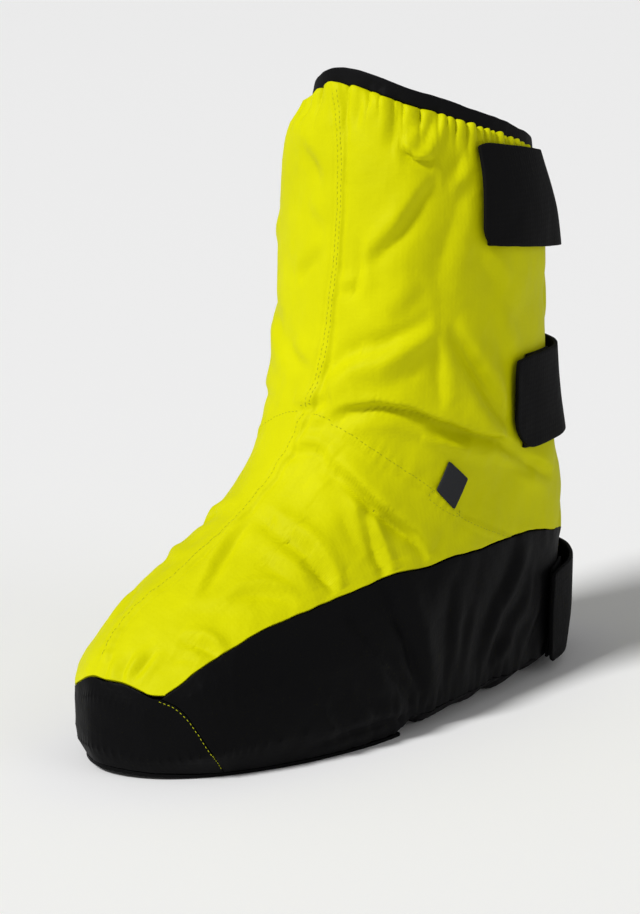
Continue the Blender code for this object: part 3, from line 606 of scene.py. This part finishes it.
# The toe cap and the two side panels: the same cloth in black, cut in three and joined to the shell
# and to each other in plain seams. The hem's elastic draws the side panels into long soft folds.
#
# Its coating swallows nearly all light, so only the folds' crests show, as a faint grey. Its 0.3 mm
# threads are drawn 1.2 mm wide, so that they show.
black_cloth = woven_cloth("polyester_shell_cloth_black", light="#0A0A0B", dark="#080809",
                          roughness=0.55, gloss=0.05, thread=0.0012, relief=0.00005)


# The elastic of the hem, in mm: how high it lies, and where it lets the cloth up off the floor, as the
# place along the foot, how high, and how far to each side.
ELASTIC_HEIGHT = 13
HEM_LIFTS = ((-19, 5.5, 8), (22, 1.5, 9), (50, 2.6, 8), (84, 3.6, 9), (112, 2.0, 9))


def hem_gathers(points):
    """How far the cloth puffs out between the pinches above the elastic of the hem, in mm."""
    # The pinches lie 3.5 to 6.9 degrees apart, as seen from the middle of the opening.
    turn = np.degrees(np.arctan2(points[:, 1] - 15, np.abs(points[:, 0])))
    marks = [-62.0]
    while marks[-1] < 88:
        marks.append(marks[-1] + 5.2 + 1.7 * math.sin(2.3 * marks[-1]))
    puff, _ = lobes(turn + 1.5 * np.sign(points[:, 0]), marks)
    height = points[:, 2]
    rise = np.exp(-((height - ELASTIC_HEIGHT) / np.where(height > ELASTIC_HEIGHT, 13, 8)) ** 2)
    gathered = np.clip((turn + 60) / 12, 0, 1)
    out = away_from_middle(points) * (1.5 * (puff - 0.45) * rise * gathered)[:, None]
    lift = 1.2 * (1 - puff) * gathered
    for place, high, reach in HEM_LIFTS:
        lift += high * np.exp(-((points[:, 1] - place) / reach) ** 2)
    out[:, 2] = lift * np.exp(-(np.clip(height, 0, None) / ELASTIC_HEIGHT) ** 1.5)
    return out


def tuck_up(points):
    """Lifts the panels' upper edge at the back, in mm, so that it closes up to the shell."""
    lift = 1.5 * np.clip((points[:, 1] - 100) / 30, 0, 1) * np.clip((points[:, 2] - 50) / 14, 0, 1)
    return np.stack([0 * lift, 0 * lift, lift], 1)


for name in ("toe_cap", "side_panel_lateral", "side_panel_medial"):
    panel = take(name, name + "_cloth")
    refine(panel, corners=CAP_CORNERS)
    settle(panel, more=(hem_gathers, tuck_up))
    panel.data.materials.append(black_cloth)
    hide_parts(name)
    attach(panel, "root")


# The stitching of the toe cap: the shell's yellow thread in one row beside each of the cap's two side
# seams, on the cap.
#
# The seams run from the cap's two upper corners down to the sole, in mm.
CAP_SEAM = [(20, -155, 41.5), (25, -150, 38.6), (29.5, -145.5, 33), (33.3, -141.4, 25),
            (37, -136.6, 14.4), (36, -129, 5)]
CAP_SEAM_MEDIAL = [(-43, -152, 33.7), (-47, -148, 30.6), (-50, -144, 26.7), (-53, -140, 20.7),
                   (-55, -135.6, 12.5), (-54, -128, 4)]

# The same spun polyester thread, a little brighter, as it is coloured without the painted shade of the thread
# on the yellow cloth.
bright_thread = plain_fibre("polyester_thread_fluorescent_on_black", "#B4B800", roughness=0.6, gloss=0.2)
cap_stitching = sew("toe_cap_stitching", [(CAP_SEAM, -1.4), (CAP_SEAM_MEDIAL, 1.4)],
                    bpy.data.objects["toe_cap_cloth"], pitch=2.3, long=1.5, thick=0.4,
                    thread=bright_thread)
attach(cap_stitching, "root")


# The sole: a flat panel of the black cloth under the forefoot, sewn to the cap and the side panels all
# round its edge and straight across in front of the heel, where the overshoe is open underneath.
sole = take("sole_forefoot", "sole_forefoot_cloth")
refine(sole)
sole.data.materials.append(black_cloth)
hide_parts("sole_forefoot")
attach(sole, "root")


# The hem: the lower edge of each side panel, turned in as a casing round an elastic cord, which gathers
# it from the sole round the heel to the closure at the back.
for name in ("hem_lateral", "hem_medial"):
    hem = take(name, name + "_casing")
    refine(hem)
    settle(hem, more=(hem_gathers,))
    hem.data.materials.append(black_cloth)
    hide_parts(name)
    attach(hem, "root")


# The collar binding: 16 mm woven elastic, folded over the collar's edge and sewn on under tension, so
# that it gathers the cloth below it.
#
# Its close, coarse weave is a dull black, with no shine even where it bends over the edge.
elastic = woven_cloth("woven_elastic", light="#101011", dark="#0C0C0D",
                      roughness=0.65, gloss=0.06, thread=0.0012, relief=0.0001)
binding = take("collar_binding", "collar_binding_elastic")
refine(binding)
settle(binding, slack=0.6)
binding.data.materials.append(elastic)
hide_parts("collar_binding")
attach(binding, "root")


# The straps and their patches: 50 mm hook and loop tape in nylon. The straps are sewn on at the medial
# back, pass over the closure and hold on the loop patches of the lateral side.
#
# The pile of hooks and loops is rough and scatters what light it gets: a flat black, a little paler
# than the coated cloth. Its rows are 1.4 mm apart.
tape = woven_cloth("hook_and_loop_tape", light="#101011", dark="#0C0C0D",
                   roughness=0.75, gloss=0.06, thread=0.0014, relief=0.0002)
for name in ("strap_top", "strap_mid", "strap_heel", "loop_patch_top", "loop_patch_mid", "loop_patch_heel"):
    strap = take(name, name + "_tape")
    refine(strap)
    settle(strap)
    strap.data.materials.append(tape)
    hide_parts(name)
    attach(strap, "root")


# The label: a small woven tab of polyester in charcoal grey, cut square and sewn on over the instep
# seam with its corner up. It is plain.
#
# Its fine satin weave is a cool dark grey that stands out from the yellow without a shine. Its 0.2 mm
# threads are drawn 1.2 mm wide, so that they show.
badge = woven_cloth("woven_label", light="#2A2B2E", dark="#242528",
                    roughness=0.7, gloss=0.15, thread=0.0012, relief=0.0001)
label = take("side_label", "side_label_woven")
refine(label)
settle(label)
label.data.materials.append(badge)
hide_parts("side_label")
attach(label, "root")


# The studio: a pale, matt floor as wide as the eye reaches under a white sky, one soft light high on the
# left of the camera and a weaker one on its right. The plain transform keeps the cloth's full yellow.
bpy.ops.mesh.primitive_plane_add(size=600, location=(0, 0, 0))
floor = bpy.context.object
floor.name = "studio_floor"
floor_paint = material("matt_white_paint")
paint = add(floor_paint, "ShaderNodeBsdfPrincipled", {"Base Color": colour("#F6F6F6"), "Roughness": 0.9})
add(floor_paint, "ShaderNodeOutputMaterial", links={"Surface": (paint, "BSDF")})
floor.data.materials.append(floor_paint)

world = bpy.data.worlds.new("white_sky")
bpy.context.scene.world = world
bpy.context.scene.view_settings.view_transform = "Standard"
world.use_nodes = True
world.node_tree.nodes["Background"].inputs["Color"].default_value = (1, 1, 1, 1)
world.node_tree.nodes["Background"].inputs["Strength"].default_value = 0.27

# Each light: where it stands, as degrees round from the toe towards the outer side and degrees up,
# its strength, and how wide it looks, in degrees.
for name, turn, height, strength, width in (("key", -5, 43, 2.9, 12), ("fill", 105, 26, 0.3, 40)):
    lamp = bpy.data.lights.new(name + "_light", "SUN")
    lamp.energy = strength
    lamp.angle = math.radians(width)
    light = bpy.data.objects.new(name + "_light", lamp)
    light.location = (math.sin(math.radians(turn)), -math.cos(math.radians(turn)), 1)
    light.rotation_euler = (math.radians(90 - height), 0, math.radians(turn))
    bpy.context.scene.collection.objects.link(light)

eye = bpy.data.cameras.new("camera")
eye.sensor_width = 36
eye.lens = 82
eye.clip_end = 1000
camera = bpy.data.objects.new("camera", eye)
camera.location = (0.7176, -0.7770, 0.3650)
camera.rotation_euler = (math.radians(77.55), 0, math.radians(43.64))
bpy.context.scene.collection.objects.link(camera)
bpy.context.scene.camera = camera
